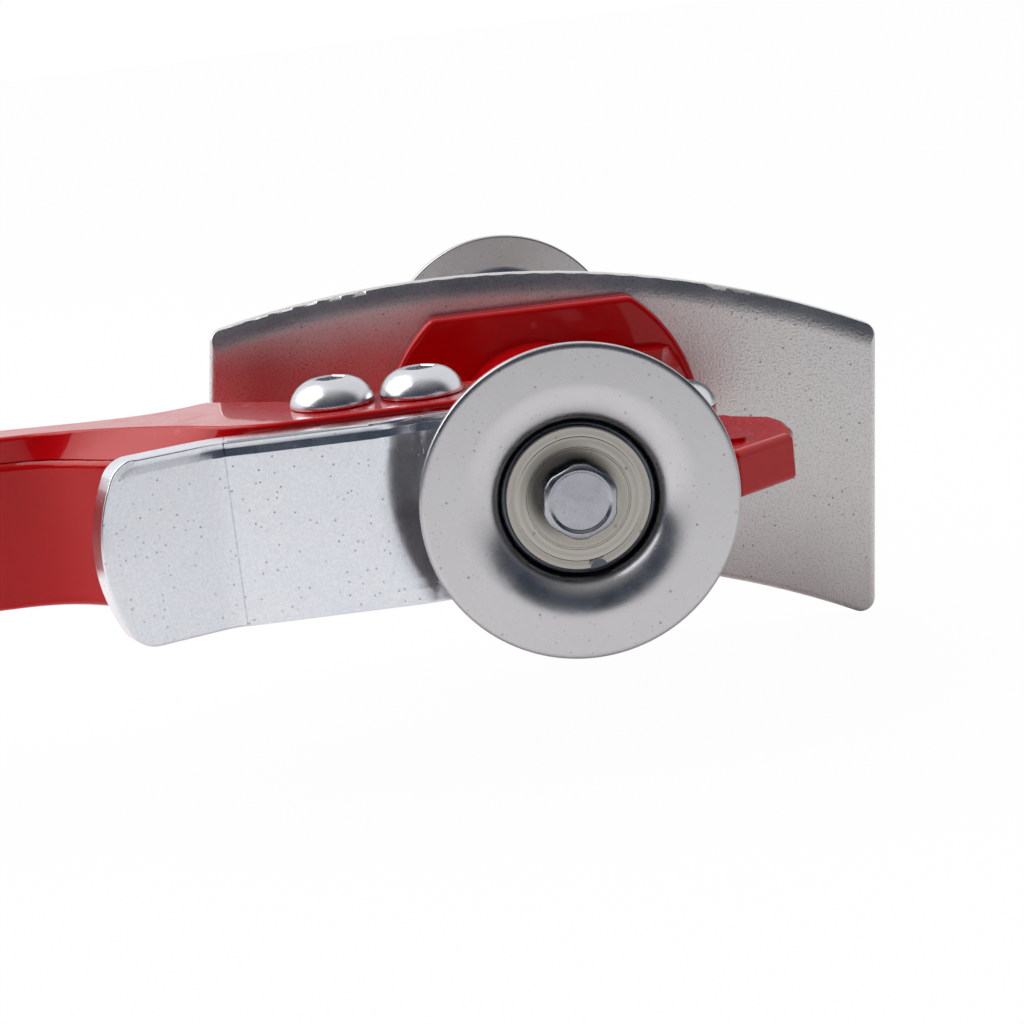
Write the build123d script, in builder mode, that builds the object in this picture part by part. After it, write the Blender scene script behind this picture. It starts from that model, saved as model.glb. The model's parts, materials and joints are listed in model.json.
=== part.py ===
from build123d import *
from math import cos, radians, sin, sqrt
import os

os.makedirs("parts", exist_ok=True)

# A lever can opener with two dished guide rollers on one cross axle. +X runs along the arm
# towards the nose, +Y along the axle away from the arm, +Z is square to the arm's top plate.
# The origin is on the axle's centre line, at the front face of the arched rim guide.

# ---- driving dimensions, in millimetres ------------------------------------------------

roller_radius = 29.0
front_rim = -77.0        # place of the front roller's outer face along the axle
rear_rim = 102.0         # and of the rear roller's
sheet = 2.2              # thickness of the roller's pressed sheet
dish_depth = 5.4         # outer face to the floor of the dish
dish_radius = 14.4
roll_radius = 3.6        # rolled shoulder between the flat rim and the dish

shaft_radius = 8.0
journal_radius = 6.0     # each end of the shaft, inside its bearing
bearing_radius = 9.0
bearing_width = 4.0
running = 0.05           # radial clearance of a bush on the shaft
end_play = 0.3           # axial gap between a turning piece and its neighbour

arm_top = 18.5
plate_thick = 4.8        # top plate
arm_bottom = -15.0
tail_x = -213.0          # end of the handle
neck_x = -106.0          # where the narrow handle starts to widen
arm_end = -14.0          # right end of the top plate, on the axle tube
handle_front = -42.0
handle_back = -33.0
handle_lip = 0.8         # how far the casting stands forward of the plate along the handle
neck_flare = 5.6         # and how far the neck's front face leans forward below the plate
head_back = -41.5
tube_radius = 18.6
hang_radius = 4.5
hang_x = tail_x + 12.0

nose_top = 3.5
nose_bottom = -5.5
nose_tip = 44.0
pad_top = nose_top + 0.7

flange_radius = 33.0
flange_flat = 25.7
flange_front = -6.0

guide_tilt = 6.3         # degrees by which the arched guide leans against the arm
guide_half_width = 70.3
guide_thick = 5.0
guide_top = 32.0         # height of the upper arc's crown above the axle
guide_bottom = 30.0      # depth of the lower arc's crown below it
guide_top_radius = 208.0
guide_bottom_radius = 200.0
guide_shift = 1.0
guide_swing = 8.0        # degrees that the guide can rock each way

lever_gap = 9.4          # outer face of the front roller to the lever's front
lever_thick = 5.0
lever_half_height = 17.3
lever_bend_x = -62.5
lever_bend = 25.0        # degrees by which the finger tab flares forwards
tab_length = 28.0
lever_swing = 60.0
eye_relief = 1.8         # how far the lever's front steps back towards its eye
relief_start = -33.5     # where that slope begins
relief_run = 6.5
stop_groove = 2.2        # depth of the groove in the lever's back for its stop pin

screw_radius = 4.0       # M8
head_radius = 8.0
head_height = 5.0
hex_flats = 13.0
bolt_head = 3.4
washer_radius = 13.0
washer_thick = 1.0
washer_depth = 4.0       # front of the recessed washer, behind the roller's outer face

# ---- sizes that follow -----------------------------------------------------------------

plate_under = arm_top - plate_thick
lever_front = front_rim + lever_gap
lever_back = lever_front + lever_thick
head_front = lever_back + 0.6
tube_front = lever_back + 2.6
bush_radius = shaft_radius + 2.0
guide_bush_radius = shaft_radius + 3.0
pin_radius = 1.9
lever_pin_place = (bush_radius + min(lever_half_height, tube_radius)) / 2
guide_pin_radius = 2.5
guide_pin_place = guide_bush_radius + 9.0
handle_middle = (handle_front + handle_back) / 2
screw_row = head_back - 7.7
arm_screws = [(-42.1, screw_row), (-25.3, screw_row)]
nose_screw = (26.2, -19.6)
tail_rivets = [(-150.0, handle_middle), (-182.0, handle_middle)]
nut_height = 6.5
nut_floor = arm_bottom + 1.0


def across(y):
    """Plane square to the axle at y; its own x is +X, its own y is +Z, and it extrudes to -Y."""
    return Plane(origin=(0, y, 0), x_dir=(1, 0, 0), z_dir=(0, -1, 0))


def save(piece, label):
    piece.part.label = label
    export_step(piece.part, f"parts/{label}.step")


def ring(label, outer, inner, front, back, edge=0.0):
    """A plain ring on the axle between two places along it."""
    with BuildPart() as piece:
        with BuildSketch(across(back)):
            Circle(outer)
            Circle(inner, mode=Mode.SUBTRACT)
        extrude(amount=back - front)
        if edge:
            chamfer(piece.edges().filter_by(GeomType.CIRCLE), edge)
    save(piece, label)


def hex_outline(flats, turn=0.0):
    RegularPolygon(flats / 2, 6, major_radius=False, rotation=turn)


# ---- frame: arm casting, top plate, axle tube and flange ---------------------------------

def arm_profile(flare, lip=0.0):
    """Plan outline of the arm: a narrow handle that widens into the head.

    flare is how far the front of the neck stands forward of the top plate's upper edge, and lip
    how far the handle stands forward of the plate.
    """
    neck_front = (neck_x, handle_front - lip)
    neck_back = (neck_x, handle_back)
    neck_third = (-86.0, handle_front - 3.3 - flare)
    head_third = (-69.0, handle_front - 11.9 - 0.9 * flare)
    head_start = (-52.0, head_front)
    horn = (-66.4, handle_back + 3.3)
    Line((tail_x, handle_front - lip), neck_front)
    Spline(neck_front, neck_third, head_third, head_start, tangents=[(1, 0), (1, -0.1)])
    Line(head_start, (arm_end, head_front + 1.5))
    Line((arm_end, head_front + 1.5), (arm_end, head_back))
    Line((arm_end, head_back), (-48.0, head_back))
    Line((-48.0, head_back), horn)
    Spline(horn, (-74.0, -33.9), (-87.0, -35.2), neck_back, tangents=[(-1, -0.55), (-1, 0.1)])
    Line(neck_back, (tail_x, handle_back))
    Line((tail_x, handle_back), (tail_x, handle_front - lip))


with BuildPart() as top_plate:
    # Its front face leans out towards the casting along the neck.
    for height, flare in ((plate_under, neck_flare), (arm_top, 0.0)):
        with BuildSketch(Plane.XY.offset(height)):
            with BuildLine():
                arm_profile(flare)
            make_face()
    loft(ruled=True)
    # The plate's tail stops just short of the casting and is rounded in plan.
    with BuildSketch(Plane.XY.offset(plate_under)):
        with Locations((tail_x + 2, handle_middle)):
            Rectangle(8, 20)
    extrude(amount=plate_thick, mode=Mode.SUBTRACT)
    tail_edges = top_plate.edges().filter_by(Axis.Z).sort_by(Axis.X)[0:2]
    fillet(tail_edges, 4.0)
    fillet(top_plate.faces().sort_by(Axis.Z)[-1].edges(), 0.8)
    with Locations(*[(x, y, arm_top) for x, y in arm_screws]):
        Hole(screw_radius)
    with Locations(*[(x, y, arm_top) for x, y in tail_rivets]):
        CounterSinkHole(1.5, 2.9, counter_sink_angle=90)
save(top_plate, "top_plate")

with BuildPart() as handle_casting:
    # The nose: a low tapered tongue with soft edges.
    with BuildSketch(Plane.XY.offset(nose_bottom)) as nose_plan:
        with BuildLine():
            Polyline((10, -60), (20, -60.5), (27, -65.6), (31, -65.6), (nose_tip - 1.2, -55.5),
                     (nose_tip, -50), (nose_tip, -42), (nose_tip - 1.5, -36.6), (33.6, -29.4),
                     (10, -29.4), (10, -60))
        make_face()
        fillet(nose_plan.vertices().group_by(Axis.X)[-1], 3.0)
    extrude(amount=nose_top - nose_bottom)
    fillet(handle_casting.faces().sort_by(Axis.Z)[-1].edges(), 1.5)
    fillet(handle_casting.faces().sort_by(Axis.Z)[0].edges(), 1.2)
    with BuildSketch(Plane.XY.offset(arm_bottom)):
        with BuildLine():
            arm_profile(neck_flare + 1.0, handle_lip)
        make_face()
    extrude(amount=plate_under - arm_bottom)
    tail_corner = handle_casting.edges().filter_by(Axis.Y).group_by(Axis.X)[0].sort_by(Axis.Z)
    fillet(tail_corner[0], 14.0)
    fillet(tail_corner[-1], 4.0)
    # The long edges are rounded; the rounding runs on round the tail and along the underside.
    upper_edges = handle_casting.faces().sort_by(Axis.Z)[-1].edges()
    fillet(upper_edges.filter_by(lambda e: e.center().X < -48 and e.length > 12), 1.6)
    # The head swells round the axle tube, and stays under the top plate.
    with BuildSketch(across(head_back)):
        Circle(tube_radius + 5.4)
        with Locations((0, plate_under + 20)):
            Rectangle(60, 40, mode=Mode.SUBTRACT)
    extrude(amount=head_back - tube_front)
    # A lug behind the nose carries the third screw, and a low pad lies in front of it.
    with BuildSketch(Plane.XY.offset(nose_bottom)):
        with Locations(nose_screw):
            Circle(head_radius)
            with Locations((-2, -10)):
                Rectangle(2 * head_radius - 4, 20)
    extrude(amount=pad_top - nose_bottom)
    with BuildSketch(Plane.XY.offset(nose_top)):
        with Locations((24, -45.5)):
            RectangleRounded(20.5, 24, 2)
    extrude(amount=pad_top - nose_top)
    with BuildSketch(across(0)):
        Circle(tube_radius)
    extrude(amount=80, mode=Mode.SUBTRACT)
    with Locations(*[(x, y, plate_under) for x, y in arm_screws], (*nose_screw, pad_top)):
        Hole(screw_radius)
    with BuildSketch(Plane.XY.offset(arm_bottom)):
        with Locations(*arm_screws):
            hex_outline(hex_flats + 0.4)
    extrude(amount=nut_height + 1.0, mode=Mode.SUBTRACT)
    with Locations(*[(x, y, plate_under) for x, y in tail_rivets]):
        Hole(1.5)
    with BuildSketch(across(0)):
        with Locations((hang_x, 0)):
            Circle(hang_radius + 1.5)
    extrude(amount=60, mode=Mode.SUBTRACT)
save(handle_casting, "handle_casting")

with BuildPart() as axle_tube:
    with BuildSketch(across(flange_front)):
        Circle(tube_radius)
        Circle(shaft_radius, mode=Mode.SUBTRACT)
    extrude(amount=flange_front - tube_front)
    # A flat on top of the front stretch seats the end of the top plate.
    with BuildSketch(across(head_back + 0.5)):
        with Locations((arm_end - 20 + 0.5, plate_under + 20)):
            Rectangle(40, 40)
    extrude(amount=50, mode=Mode.SUBTRACT)
    with BuildSketch(across(tube_front + 6)):
        with Locations((0, lever_pin_place)):
            Circle(pin_radius)
    extrude(amount=10, mode=Mode.SUBTRACT)
    with BuildSketch(Plane.XY.offset(-tube_radius - 1)):
        with Locations((0, -22)):
            Circle(3)
    extrude(amount=tube_radius - 2, mode=Mode.SUBTRACT)
save(axle_tube, "axle_tube")

with BuildPart() as flange_bracket:
    with BuildSketch(across(-end_play)):
        Circle(flange_radius)
        Rectangle(3 * flange_radius, 2 * flange_flat, mode=Mode.INTERSECT)
        Circle(shaft_radius, mode=Mode.SUBTRACT)
    extrude(amount=-end_play - flange_front)
    fillet(flange_bracket.edges().filter_by(Axis.Y).filter_by(GeomType.LINE), 3.0)
    rim = flange_bracket.faces().sort_by(Axis.Y)[0].edges().filter_by(
        lambda e: e.radius > shaft_radius + 1 if e.geom_type == GeomType.CIRCLE else True)
    fillet(rim, 1.2)
    # A drafted rib braces the flange against the tube, above the nose.
    with BuildSketch(across(flange_front + 1)):
        Polygon((12, 15.3), (28.2, 14.6), (31.4, 8), (31.4, 5), (12, 5), align=None)
    with BuildSketch(across(flange_front - 5.2)):
        Polygon((12, 15.2), (25.6, 14.8), (24.2, 8), (23.8, 5), (12, 5), align=None)
    loft()
    with BuildSketch(across(flange_front)):
        Circle(tube_radius)
    extrude(amount=10, mode=Mode.SUBTRACT)
    with BuildSketch(across(0)):
        with Locations((0, -guide_pin_place)):
            Circle(guide_pin_radius)
    extrude(amount=4.4, mode=Mode.SUBTRACT)
save(flange_bracket, "flange_bracket")


# ---- fasteners of the frame ----------------------------------------------------------------

def button_profile():
    """Half section of a domed head on the XZ plane, seat at zero, with its shank below."""
    Line((0, 0), (head_radius - 0.4, 0))
    Line((head_radius - 0.4, 0), (head_radius, 0.7))
    ThreePointArc((head_radius, 0.7), (6.2, 3.6), (3.4, head_height))
    Line((3.4, head_height), (0, head_height))
    Line((0, head_height), (0, 0))


with BuildPart() as button_screws:
    seats = [(x, y, arm_top, nut_floor) for x, y in arm_screws]
    seats.append((*nose_screw, pad_top, nose_bottom - nut_height - 1))
    for x, y, seat, end in seats:
        with BuildSketch(Plane(origin=(x, y, seat), x_dir=(1, 0, 0), z_dir=(0, -1, 0))):
            with BuildLine():
                button_profile()
            make_face()
        revolve(axis=Axis((x, y, 0), (0, 0, 1)))
        with BuildSketch(Plane.XY.offset(end)):
            with Locations((x, y)):
                Circle(screw_radius)
        extrude(amount=seat - end)
        with BuildSketch(Plane.XY.offset(seat + head_height - 3)):
            with Locations((x, y)):
                hex_outline(5.0)
        extrude(amount=4, mode=Mode.SUBTRACT)
save(button_screws, "button_screws")

with BuildPart() as lock_nuts:
    for x, y, floor in [(*p, nut_floor) for p in arm_screws] + [(*nose_screw, nose_bottom - nut_height)]:
        with BuildSketch(Plane.XY.offset(floor)):
            with Locations((x, y)):
                hex_outline(hex_flats)
                Circle(screw_radius, mode=Mode.SUBTRACT)
        extrude(amount=nut_height)
save(lock_nuts, "lock_nuts")

with BuildPart() as plate_rivets:
    for x, y in tail_rivets:
        with BuildSketch(Plane.XY.offset(arm_bottom + 4)):
            with Locations((x, y)):
                Circle(1.5)
        extrude(amount=arm_top - arm_bottom - 4)
        with Locations((x, y, arm_top - 0.7)):
            Cone(1.5, 2.9, 1.4)
save(plate_rivets, "plate_rivets")

with BuildPart() as hanging_eyelet:
    with BuildSketch(across(handle_back)):
        with Locations((hang_x, 0)):
            Circle(hang_radius + 1.5)
            Circle(hang_radius, mode=Mode.SUBTRACT)
    extrude(amount=handle_back - handle_front + handle_lip)
    for place in (handle_back + 0.8, handle_front - handle_lip):
        with BuildSketch(across(place)):
            with Locations((hang_x, 0)):
                Circle(hang_radius + 3)
                Circle(hang_radius, mode=Mode.SUBTRACT)
        extrude(amount=0.8)
save(hanging_eyelet, "hanging_eyelet")

with BuildPart() as grub_screw:
    with BuildSketch(Plane.XY.offset(-tube_radius + 1)):
        with Locations((0, -22)):
            Circle(3)
    extrude(amount=tube_radius - shaft_radius - 1.6)
    with BuildSketch(Plane.XY.offset(-tube_radius + 1)):
        with Locations((0, -22)):
            hex_outline(3.0)
    extrude(amount=3, mode=Mode.SUBTRACT)
save(grub_screw, "grub_screw")

with BuildPart() as lever_stop_pin:
    with BuildSketch(across(tube_front + 6)):
        with Locations((0, lever_pin_place)):
            Circle(pin_radius)
    extrude(amount=tube_front + 6 - (lever_back - stop_groove + 0.4))
    chamfer(lever_stop_pin.edges().sort_by(Axis.Y)[0], 0.3)
save(lever_stop_pin, "lever_stop_pin")

with BuildPart() as guide_stop_pin:
    with BuildSketch(across(guide_thick + 2)):
        with Locations((0, -guide_pin_place)):
            Circle(guide_pin_radius)
    extrude(amount=guide_thick + 2 + 4.4)
    chamfer(guide_stop_pin.edges().sort_by(Axis.Y)[-1], 0.4)
save(guide_stop_pin, "guide_stop_pin")


# ---- cross axle ----------------------------------------------------------------------------

front_seat = front_rim + washer_depth + washer_thick
rear_seat = rear_rim - washer_depth - washer_thick

with BuildPart() as axle_shaft:
    with BuildSketch(across(rear_seat)):
        Circle(journal_radius)
    extrude(amount=rear_seat - front_seat)
    with BuildSketch(across(rear_seat - bearing_width)):
        Circle(shaft_radius)
    extrude(amount=rear_seat - front_seat - 2 * bearing_width)
    chamfer(axle_shaft.faces().sort_by(Axis.Y)[0].edges(), 0.4)
    chamfer(axle_shaft.faces().sort_by(Axis.Y)[-1].edges(), 0.4)
    for end in (front_seat + 20, rear_seat):
        with BuildSketch(across(end)):
            Circle(screw_radius)
        extrude(amount=20, mode=Mode.SUBTRACT)
save(axle_shaft, "axle_shaft")

ring("lever_spacer", lever_pin_place - pin_radius - 0.2, shaft_radius, lever_back + end_play,
     tube_front)
ring("guide_thrust_washer", shaft_radius + 6, shaft_radius, guide_thick + 0.6 + end_play,
     guide_thick + 2.4)
ring("rear_spacer_tube", shaft_radius + 4, shaft_radius, guide_thick + 2.4,
     rear_seat - bearing_width - end_play, 0.5)


def end_bolt(label, rim, inward):
    """Hex bolt and big washer that hold a bearing on its journal; inward is +1 or -1 along Y."""
    seat = rim + inward * washer_depth
    top = seat - inward * bolt_head
    corner = hex_flats / sqrt(3)
    with BuildPart() as bolt:
        with BuildSketch(across(max(seat, top))):
            hex_outline(hex_flats, 30 - guide_tilt)
        extrude(amount=bolt_head)
        with BuildSketch(Plane.XY):
            Polygon((0, seat), (corner + 1, seat), (corner + 1, top + inward * 1.3),
                    (hex_flats * 0.47, top), (0, top), align=None)
        revolve(axis=Axis.Y, mode=Mode.INTERSECT)
        with BuildSketch(across(max(seat, seat + inward * 18))):
            Circle(screw_radius)
        extrude(amount=18)
    save(bolt, label)


end_bolt("front_bolt", front_rim, 1)
end_bolt("rear_bolt", rear_rim, -1)
ring("front_washer", washer_radius, screw_radius, front_rim + washer_depth, front_seat, 0.2)
ring("rear_washer", washer_radius, screw_radius, rear_seat, rear_rim - washer_depth, 0.2)


# ---- rollers, each a pressed disc on a ball bearing -----------------------------------------

ball_radius = 0.78
groove_radius = ball_radius + running
ball_circle = (journal_radius + bearing_radius) / 2
race_wall = 1.1
ball_count = 14


def roller(side, rim, inward):
    """One dished roller; depths are measured from its outer face towards the arm."""

    def at(radius, depth):
        return (radius, rim + inward * depth)

    floor_back = dish_depth + sheet
    hub_back = washer_depth + washer_thick + bearing_width - 0.1
    middle = rim + inward * (washer_depth + washer_thick + bearing_width / 2)
    roll = roll_radius * (1 - sqrt(0.5))
    outer_roll = roll_radius + sheet
    edge = sheet / 2
    hub_radius = bearing_radius + 2.0

    with BuildPart() as disc:
        with BuildSketch(Plane.XY):
            with BuildLine():
                Line(at(hub_radius, dish_depth), at(dish_radius, dish_depth))
                Line(at(dish_radius, dish_depth), at(dish_radius, roll_radius))
                ThreePointArc(at(dish_radius, roll_radius), at(dish_radius + roll, roll),
                              at(dish_radius + roll_radius, 0))
                Line(at(dish_radius + roll_radius, 0), at(roller_radius - edge, 0))
                ThreePointArc(at(roller_radius - edge, 0), at(roller_radius, edge),
                              at(roller_radius - edge, sheet))
                Line(at(roller_radius - edge, sheet), at(dish_radius + outer_roll, sheet))
                ThreePointArc(at(dish_radius + outer_roll, sheet),
                              at(dish_radius + sheet + roll, sheet + roll),
                              at(dish_radius + sheet, sheet + roll_radius))
                Line(at(dish_radius + sheet, sheet + roll_radius), at(dish_radius + sheet, floor_back))
                Line(at(dish_radius + sheet, floor_back), at(hub_radius, floor_back))
                Line(at(hub_radius, floor_back), at(hub_radius, dish_depth))
            make_face()
        revolve(axis=Axis.Y)
    save(disc, f"{side}_roller_disc")

    with BuildPart() as hub:
        with BuildSketch(Plane.XY):
            Polygon(at(bearing_radius, dish_depth - 0.1), at(hub_radius, dish_depth - 0.1),
                    at(hub_radius, floor_back), at(hub_radius + 2.4, floor_back),
                    at(hub_radius + 2.4, hub_back), at(bearing_radius, hub_back), align=None)
        revolve(axis=Axis.Y)
    save(hub, f"{side}_roller_hub")

    def race(name, bore, outside, first, last):
        with BuildPart() as piece:
            with BuildSketch(Plane.XY):
                Polygon(at(bore, first), at(outside, first), at(outside, last), at(bore, last),
                        align=None)
                with Locations((ball_circle, middle)):
                    Circle(groove_radius, mode=Mode.SUBTRACT)
            revolve(axis=Axis.Y)
        save(piece, f"{side}_bearing_{name}")

    start = washer_depth + washer_thick
    race("inner_race", journal_radius, journal_radius + race_wall, start, start + bearing_width)
    race("outer_race", bearing_radius - race_wall, bearing_radius, start + end_play,
         start + bearing_width - end_play)

    with BuildPart(across(middle)) as balls:
        with PolarLocations(ball_circle, ball_count):
            Sphere(ball_radius)
    save(balls, f"{side}_bearing_balls")

    with BuildPart(across(middle)) as cage:
        with BuildSketch(across(middle + 1.3)):
            Circle(ball_circle + 0.25)
            Circle(ball_circle - 0.25, mode=Mode.SUBTRACT)
        extrude(amount=2.6)
        with PolarLocations(ball_circle, ball_count):
            Cylinder(ball_radius + 0.04, 2, rotation=(0, 90, 0), mode=Mode.SUBTRACT)
    save(cage, f"{side}_bearing_cage")


roller("front", front_rim, 1)
roller("rear", rear_rim, -1)


# ---- arched rim guide -------------------------------------------------------------------------

lean = radians(guide_tilt)


def guide_plane(y):
    """Plane of the arched guide, turned with it against the arm."""
    return Plane(origin=(0, y, 0), x_dir=(cos(lean), 0, -sin(lean)), z_dir=(0, -1, 0))


def arc_slot(place, width, start, end):
    """Slot of one width along an arc about the axle, between two directions in degrees."""
    with BuildLine() as path:
        CenterArc((0, 0), place, start, end - start)
    SlotArc(path.edges()[0], width)


with BuildPart() as arched_plate:
    side_top = guide_half_width - 0.9
    side_bottom = guide_half_width + 1.1
    top_drop = guide_top_radius - sqrt(guide_top_radius**2 - side_top**2)
    bottom_drop = guide_bottom_radius - sqrt(guide_bottom_radius**2 - side_bottom**2)
    with BuildSketch(guide_plane(guide_thick)) as outline:
        with BuildLine():
            left = guide_shift - side_top
            right = guide_shift + side_top
            low_left = guide_shift - side_bottom
            low_right = guide_shift + side_bottom
            ThreePointArc((left, guide_top - top_drop), (guide_shift, guide_top),
                          (right, guide_top - top_drop))
            Line((right, guide_top - top_drop), (low_right, -guide_bottom - bottom_drop))
            ThreePointArc((low_right, -guide_bottom - bottom_drop), (guide_shift, -guide_bottom),
                          (low_left, -guide_bottom - bottom_drop))
            Line((low_left, -guide_bottom - bottom_drop), (left, guide_top - top_drop))
        make_face()
        fillet(outline.vertices(), 3.0)
    extrude(amount=guide_thick)
    faces = arched_plate.faces().sort_by(Axis.Y)
    fillet(faces[0].edges() + faces[-1].edges(), 1.4)
    with BuildSketch(across(guide_thick)):
        Circle(guide_bush_radius)
        arc_slot(guide_pin_place, 2 * guide_pin_radius + 0.6, 270 - guide_swing - 0.3,
                 270 + guide_swing + 0.3)
    extrude(amount=guide_thick, mode=Mode.SUBTRACT)
save(arched_plate, "arched_plate")

ring("guide_bush", guide_bush_radius, shaft_radius + running, 0, guide_thick + 0.6, 0.3)


# ---- lever ------------------------------------------------------------------------------------

with BuildPart() as lever_bar:
    turn = radians(lever_bend)
    bend_front = (lever_bend_x, lever_front)
    tab_front = (lever_bend_x - tab_length * cos(turn), lever_front - tab_length * sin(turn))
    tab_back = (tab_front[0] - lever_thick * sin(turn), tab_front[1] + lever_thick * cos(turn))
    knee = lever_thick * sin(turn / 2) / cos(turn / 2)
    with BuildSketch(Plane.XY.offset(-lever_half_height)) as strip:
        with BuildLine():
            Polyline((lever_half_height, lever_front), bend_front, tab_front, tab_back,
                     (lever_bend_x - knee, lever_back), (lever_half_height, lever_back),
                     (lever_half_height, lever_front))
        make_face()
    extrude(amount=2 * lever_half_height)
    bends = lever_bar.edges().filter_by(Axis.Z).filter_by_position(
        Axis.X, lever_bend_x - 2, lever_bend_x + 2)
    fillet(bends, 8.0)
    # The eye is round about the axle, and the tab's end is a shallow arc with soft corners.
    end_x = tab_front[0]
    with BuildSketch(across(0)) as outline:
        with BuildLine():
            ThreePointArc((0, lever_half_height), (lever_half_height, 0), (0, -lever_half_height))
            Line((0, -lever_half_height), (end_x + 6, -lever_half_height))
            ThreePointArc((end_x + 6, -lever_half_height), (end_x, 0), (end_x + 6, lever_half_height))
            Line((end_x + 6, lever_half_height), (0, lever_half_height))
        make_face()
        fillet(outline.vertices().group_by(Axis.X)[0], 4.0)
    extrude(amount=120, mode=Mode.INTERSECT)
    with BuildSketch(across(0)):
        Circle(bush_radius)
    extrude(amount=90, mode=Mode.SUBTRACT)
    # The front slopes back to a thinner eye behind the roller.
    with BuildSketch(Plane.XY.offset(-lever_half_height)):
        Polygon((relief_start, lever_front), (relief_start + relief_run, lever_front + eye_relief),
                (lever_half_height + 1, lever_front + eye_relief),
                (lever_half_height + 1, lever_front - 1), (relief_start, lever_front - 1),
                align=None)
    extrude(amount=2 * lever_half_height, mode=Mode.SUBTRACT)
    # Blind groove in the back for the stop pin; the lever lifts by turning it past the pin.
    with BuildSketch(across(lever_back)):
        arc_slot(lever_pin_place, 2 * pin_radius + 0.6, 90 - 1.5, 90 + lever_swing + 1.5)
    extrude(amount=stop_groove, mode=Mode.SUBTRACT)
save(lever_bar, "lever_bar")

ring("lever_bush", bush_radius, shaft_radius + running, lever_front, lever_back, 0.3)
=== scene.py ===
import json
from math import atan2, cos, pi, radians, sin

import bmesh
import bpy
from mathutils import Matrix, Vector


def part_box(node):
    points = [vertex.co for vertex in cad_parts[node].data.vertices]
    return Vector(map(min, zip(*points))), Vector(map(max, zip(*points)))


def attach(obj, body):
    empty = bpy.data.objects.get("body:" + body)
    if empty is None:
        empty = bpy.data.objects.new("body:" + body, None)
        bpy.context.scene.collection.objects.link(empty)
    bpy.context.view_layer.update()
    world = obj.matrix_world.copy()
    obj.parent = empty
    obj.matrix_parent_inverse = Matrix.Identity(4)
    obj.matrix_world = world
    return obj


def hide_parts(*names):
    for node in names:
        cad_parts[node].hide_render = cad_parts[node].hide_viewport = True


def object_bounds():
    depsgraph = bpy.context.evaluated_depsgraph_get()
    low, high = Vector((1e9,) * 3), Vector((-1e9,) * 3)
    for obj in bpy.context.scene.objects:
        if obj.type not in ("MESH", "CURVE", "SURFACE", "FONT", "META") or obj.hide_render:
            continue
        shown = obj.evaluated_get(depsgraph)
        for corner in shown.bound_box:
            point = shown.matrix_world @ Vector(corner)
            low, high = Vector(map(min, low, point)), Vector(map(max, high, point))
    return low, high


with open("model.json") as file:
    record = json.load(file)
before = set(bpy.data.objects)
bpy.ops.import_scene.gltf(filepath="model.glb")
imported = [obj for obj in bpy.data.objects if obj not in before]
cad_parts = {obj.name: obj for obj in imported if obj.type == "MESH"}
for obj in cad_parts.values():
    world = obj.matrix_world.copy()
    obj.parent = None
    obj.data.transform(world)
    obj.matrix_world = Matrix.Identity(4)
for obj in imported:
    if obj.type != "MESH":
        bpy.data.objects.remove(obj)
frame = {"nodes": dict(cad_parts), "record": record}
cad_low, cad_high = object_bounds()

MM = 0.001
TURN_STEPS = 144          # segments round a turned piece
GUIDE_LEAN = radians(6.3)  # how far the arched guide and the bolts are turned about the axle

# Domed screws: the middle of each seat across and along the axle, and the shank's length.
ARM_SCREWS = ((-42.1 * MM, -49.2 * MM), (-25.3 * MM, -49.2 * MM))
ARM_SCREW_LENGTH = 32.5 * MM
NOSE_SCREW = (26.2 * MM, -19.6 * MM, 4.2 * MM)
NOSE_SCREW_LENGTH = 17 * MM
M8_RADIUS = 4 * MM
WASHER_EXTRA = 0.35          # mm: the end washers fill the dish a little more than the CAD ones

# The lever's own sizes.
LEVER_THICK = 5 * MM
LEVER_BEND = -62.5 * MM      # where the tab is folded forwards
TAB_LENGTH = 26.2 * MM
TAB_FLARE = radians(25)
TAB_ARCH = 5.2 * MM          # how far the tab's corners fall short of its middle
FOLD_STEP = 0.45 * MM
FOLDS = 12
EYE_CLEAR = 2.2 * MM         # this close to the eye's bore, edges are left alone
SHARP_EDGE = 0.9             # radians
NEAR = 1e-6

# The arched guide's top edge.
ARC_RADIUS = 208 * MM
ARC_CROWN = 32 * MM
ARC_SHIFT = 1 * MM


# ---- node trees ---------------------------------------------------------------------------

class Tree:
    """A node tree with a short way to add nodes and join them."""

    def __init__(self, tree):
        self.tree = tree

    def add(self, kind, inputs=None, **settings):
        node = self.tree.nodes.new("ShaderNode" + kind)
        for key, value in settings.items():
            setattr(node, key, value)
        for key, value in (inputs or {}).items():
            self.put(node.inputs[key], value)
        return node

    def put(self, socket, value):
        if isinstance(value, bpy.types.NodeSocket):
            self.tree.links.new(value, socket)
        else:
            socket.default_value = value

    def math(self, operation, a, b=0.0):
        node = self.add("Math", {0: a, 1: b}, operation=operation)
        return node.outputs[0]

    def remap(self, value, low, high, to_low=0.0, to_high=1.0):
        node = self.add("MapRange", {"Value": value, "From Min": low, "From Max": high,
                                     "To Min": to_low, "To Max": to_high},
                        interpolation_type="SMOOTHSTEP")
        return node.outputs["Result"]

    def noise(self, vector, scale, detail=2.0, rough=0.5):
        node = self.add("TexNoise", {"Vector": vector, "Scale": scale, "Detail": detail,
                                     "Roughness": rough})
        return node.outputs[0]

    def mix(self, factor, a, b):
        node = self.add("Mix", data_type="RGBA")
        self.put(node.inputs[0], factor)
        # The colour sockets of this node share their names with its other kinds.
        self.put(node.inputs[6], a)
        self.put(node.inputs[7], b)
        return node.outputs[2]

    def group(self, group, **inputs):
        node = self.tree.nodes.new("ShaderNodeGroup")
        node.node_tree = group
        for key, value in inputs.items():
            self.put(node.inputs[key], value)
        return node.outputs

    def bump(self, height):
        node = self.add("Bump", {"Height": height, "Distance": MM, "Strength": 1.0})
        return node.outputs["Normal"]


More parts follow.
